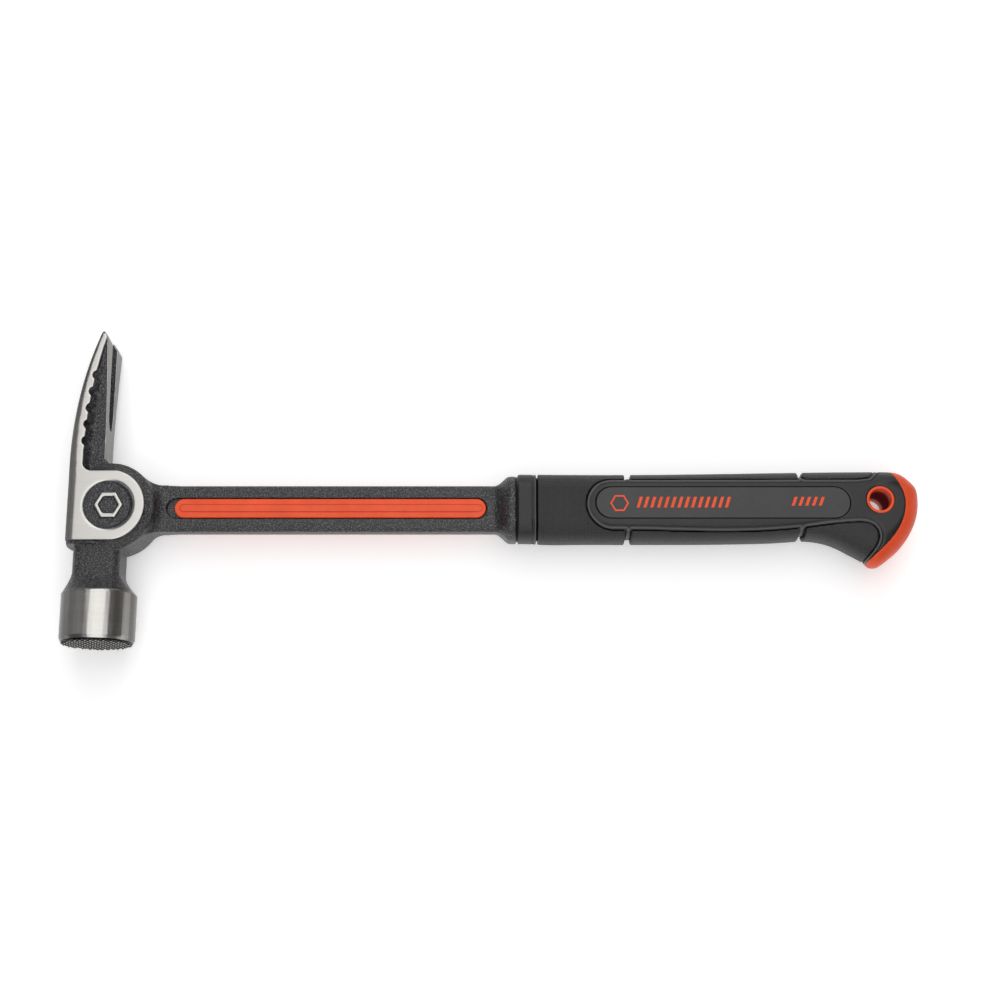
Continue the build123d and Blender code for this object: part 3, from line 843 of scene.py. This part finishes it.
def press_grooves(mesh, reach, depth):
    """Push the surface in along both grooves beside the bead."""
    normals = np.empty(len(mesh.vertices) * 3)
    mesh.vertices.foreach_get("normal", normals)
    press = np.zeros(len(reach))
    for middle, half in GROOVES:
        away = np.clip(np.abs(reach - middle) / (half * 1.35), 0, 1)
        press = np.maximum(press, 0.5 + 0.5 * np.cos(math.pi * away))
    shift = normals.reshape(-1, 3) * press[:, None] * depth / MM
    move_points(mesh, points_of(mesh) - shift)


class HAMMER_OT_grip_core(bpy.types.Operator):
    """Hard moulded core: collar, beaded frame and butt"""

    bl_idname = "hammer.grip_core"
    bl_label = "Grip core"

    def execute(self, context):
        piece = moulded("grip_core", "grip_core_skin", sizes().grip_voxel * 0.85, 2, 0.6)
        reach = distance_to_pads(piece.data, PADS)
        store(piece.data, "pad_distance", reach)
        press_grooves(piece.data, reach, sizes().bead_depth)
        grain = (1500.0, 0.00006)
        material = grip_material("core_plastic", colours().hard, 0.44, grain, groove=True)
        finish_piece(piece, "hard_grip", material)
        return {"FINISHED"}


class HAMMER_OT_pads(bpy.types.Operator):
    """Soft rubber sleeve and pads"""

    bl_idname = "hammer.pads"
    bl_label = "Soft pads"

    def execute(self, context):
        soft = colours().soft
        sleeve = grip_material("sleeve_rubber", soft, 0.5, (1600.0, 0.00016), dots=0.0011)
        pad = grip_material("pad_rubber", soft, 0.48, (1600.0, 0.0001), dots=0.0009)
        for node in PADS:
            piece = moulded(node, node + "_skin", sizes().grip_voxel, 3, 0.5)
            finish_piece(piece, "soft_grip", sleeve if node == "front_sleeve" else pad)
        return {"FINISHED"}


class HAMMER_OT_panels(bpy.types.Operator):
    """Satin plates set into both sides of the frame"""

    bl_idname = "hammer.panels"
    bl_label = "Side panels"

    def execute(self, context):
        material = grip_material("panel_plastic", colours().panel, 0.36, (2200.0, 0.00002))
        for node in ("panel_front", "panel_back"):
            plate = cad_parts[node]
            weld = plate.modifiers.new("One skin", "WELD")
            weld.merge_threshold = WELD_DISTANCE
            bevel = plate.modifiers.new("Soft rim", "BEVEL")
            bevel.width = 0.00045
            bevel.segments = 3
            bevel.limit_method = "ANGLE"
            bevel.angle_limit = math.radians(50)
            bevel.harden_normals = True
            plate.data.materials.clear()
            plate.data.materials.append(material)
        return {"FINISHED"}


# ------------------------------------------------------------------ marks

HEXAGON = (253.8, 0.4, 4.6, 0.95)
BAR_STEP = 3.3
BAR_LEAN = 1.7
BAR_WIDTH = 1.5

# Start, middle, height and count of each row of bars.
BAR_ROWS = ((262.0, 0.85, 5.4, 14), (337.4, 1.3, 4.4, 5))


def bar_corners(x, middle_y, height):
    """Four corners of one slanted bar, on the hammer's own axes in millimetres."""
    low, high = middle_y - height / 2, middle_y + height / 2
    far = x + BAR_WIDTH
    return [(x, low), (far, low), (far + BAR_LEAN, high), (x + BAR_LEAN, high)]


def hexagon_strokes(x, y, radius, width):
    """Six strokes that make a plain hexagonal ring."""
    strokes = []
    for index in range(6):
        first, second = (math.radians(60 * (index + turn)) for turn in (0, 1))
        ring = [(radius, first), (radius, second), (radius - width, second), (radius - width, first)]
        strokes.append([(x + r * math.cos(a), y + r * math.sin(a)) for r, a in ring])
    return strokes


def mark_strokes():
    """All strokes of one panel: a hexagon and a row of slanted bars, then a short row."""
    strokes = hexagon_strokes(*HEXAGON)
    for start_x, middle_y, height, count in BAR_ROWS:
        strokes += [bar_corners(start_x + BAR_STEP * k, middle_y, height) for k in range(count)]
    return strokes


def mark_mesh(side):
    """Low prisms for the strokes on one side panel."""
    node = "panel_front" if side > 0 else "panel_back"
    low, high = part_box(node)
    face = high.z if side > 0 else low.z
    rise = sizes().mark_height * side
    work = bmesh.new()
    for corners in mark_strokes():
        base = [work.verts.new((AXES.x + x * MM, AXES.y + y * MM, face - rise)) for x, y in corners]
        outline = work.faces.new(base)
        grown = bmesh.ops.extrude_face_region(work, geom=[outline])
        top = [item for item in grown["geom"] if isinstance(item, bmesh.types.BMVert)]
        bmesh.ops.translate(work, verts=top, vec=(0, 0, 2 * rise))
    bmesh.ops.remove_doubles(work, verts=work.verts, dist=1e-7)
    bmesh.ops.recalc_face_normals(work, faces=work.faces)
    mesh = bpy.data.meshes.new("marks")
    work.to_mesh(mesh)
    work.free()
    return mesh


class HAMMER_OT_marks(bpy.types.Operator):
    """Plain raised marks on the side panels"""

    bl_idname = "hammer.marks"
    bl_label = "Panel marks"

    def execute(self, context):
        material = accent_material("mark_paint", 1.0, 0.4, (1500.0, 0.00003))
        for side, name in ((1, "panel_marks_front"), (-1, "panel_marks_back")):
            piece = link(name, mark_mesh(side))
            bevel = piece.modifiers.new("Soft edge", "BEVEL")
            bevel.width = 0.00006
            bevel.segments = 2
            settle(piece)
            finish_piece(piece, "accent_orange", material)
        return {"FINISHED"}


# ------------------------------------------------------------------ stage


def area_light(name, place, aim, size, watts):
    """A soft rectangular light aimed at a point."""
    data = bpy.data.lights.new(name, "AREA")
    data.shape = "RECTANGLE"
    data.size, data.size_y = size
    data.energy = watts
    light = bpy.data.objects.new(name, data)
    bpy.context.scene.collection.objects.link(light)
    light.location = place
    light.rotation_euler = (Vector(aim) - Vector(place)).to_track_quat("-Z", "Y").to_euler()


def floor_material():
    """Plain pale floor with a faint unevenness."""
    material, sheet, surface = new_material("pale_floor")
    clouds = sheet.noise(sheet.place(), 3.0, 2.0, 0.5)
    tone = sheet.blend(clouds, (0.9, 0.9, 0.9), (0.94, 0.94, 0.94))
    sheet.feed(surface.inputs["Base Color"], tone)
    surface.inputs["Roughness"].default_value = 0.9
    surface.inputs["Specular IOR Level"].default_value = 0.1
    surface.inputs["Emission Color"].default_value = (1, 1, 1, 1)
    surface.inputs["Emission Strength"].default_value = 0.34
    return material


# Name, place, aim, size and power of each light.
LIGHTS = (
    ("top_softbox", (0.05, 0.2, 1.15), (0.05, 0.2, 0), (1.26, 3.6), 23.0),
    ("back_light", (0.0, 2.4, 1.2), (0, 0, 0), (2.4, 1.2), 13.0),
    ("front_light", (0.0, -2.4, 1.2), (0, 0, 0), (2.4, 1.2), 10.0),
    ("left_panel", (-1.6, 0.1, 0.7), (-0.2, 0, 0), (1.0, 1.6), 1.2),
)
FLOOR_REACH = 4.0
FLOOR_GAP = 0.0003
CAMERA_AIM = Vector((195.6, 5.2, 0))


class HAMMER_OT_stage(bpy.types.Operator):
    """Pale floor, soft studio lights and the camera"""

    bl_idname = "hammer.stage"
    bl_label = "Stage"

    def execute(self, context):
        scene = bpy.context.scene
        mesh = bpy.data.meshes.new("floor")
        turns = ((-1, -1), (1, -1), (1, 1), (-1, 1))
        corners = [(x * FLOOR_REACH, y * FLOOR_REACH, 0) for x, y in turns]
        mesh.from_pydata(corners, [], [(0, 1, 2, 3)])
        floor = link("floor", mesh)
        floor.location.z = -FLOOR_GAP
        mesh.materials.append(floor_material())
        for light in LIGHTS:
            area_light(*light)
        world = bpy.data.worlds.new("studio")
        scene.world = world
        world.use_nodes = True
        backdrop = world.node_tree.nodes["Background"]
        backdrop.inputs["Color"].default_value = (1, 1, 1, 1)
        backdrop.inputs["Strength"].default_value = 0.05
        scene.view_settings.view_transform = "Standard"
        data = bpy.data.cameras.new("camera")
        data.lens = 59.4
        data.sensor_width = 36.0
        camera = bpy.data.objects.new("camera", data)
        scene.collection.objects.link(camera)
        tilt = sizes().camera_tilt
        target = AXES + CAMERA_AIM * MM
        away = Vector((0, -math.sin(tilt), math.cos(tilt)))
        camera.location = target + away * sizes().camera_distance
        camera.rotation_euler = (tilt, 0, 0)
        scene.camera = camera
        return {"FINISHED"}


# ------------------------------------------------------------------ add-on


class HAMMER_PT_panel(bpy.types.Panel):
    """Lists the hammer's pieces and settings"""

    bl_idname = "HAMMER_PT_panel"
    bl_label = "Claw Hammer"
    bl_space_type = "VIEW_3D"
    bl_region_type = "UI"
    bl_category = "Hammer"

    def draw(self, context):
        for operator in OPERATORS:
            self.layout.operator(operator.bl_idname)
        for group in (context.scene.hammer_sizes, context.scene.hammer_colours):
            for key in group.bl_rna.properties.keys():
                if key not in ("rna_type", "name"):
                    self.layout.prop(group, key)


OPERATORS = (
    HAMMER_OT_stage,
    HAMMER_OT_forging,
    HAMMER_OT_inlays,
    HAMMER_OT_grip_core,
    HAMMER_OT_pads,
    HAMMER_OT_panels,
    HAMMER_OT_marks,
    HAMMER_OT_liner,
    HAMMER_OT_butt_cap,
)
CLASSES = (HammerSizes, HammerColours, *OPERATORS, HAMMER_PT_panel)


def register():
    """Add the classes and the scene's settings."""
    for item in CLASSES:
        bpy.utils.register_class(item)
    bpy.types.Scene.hammer_sizes = bpy.props.PointerProperty(type=HammerSizes)
    bpy.types.Scene.hammer_colours = bpy.props.PointerProperty(type=HammerColours)


def unregister():
    """Remove what register added."""
    del bpy.types.Scene.hammer_sizes
    del bpy.types.Scene.hammer_colours
    for item in reversed(CLASSES):
        bpy.utils.unregister_class(item)


def main():
    """Dress every piece."""
    register()
    bpy.ops.hammer.stage()
    bpy.ops.hammer.forging()
    bpy.ops.hammer.inlays()
    bpy.ops.hammer.grip_core()
    bpy.ops.hammer.pads()
    bpy.ops.hammer.panels()
    bpy.ops.hammer.marks()
    bpy.ops.hammer.liner()
    bpy.ops.hammer.butt_cap()


if __name__ == "__main__":
    main()
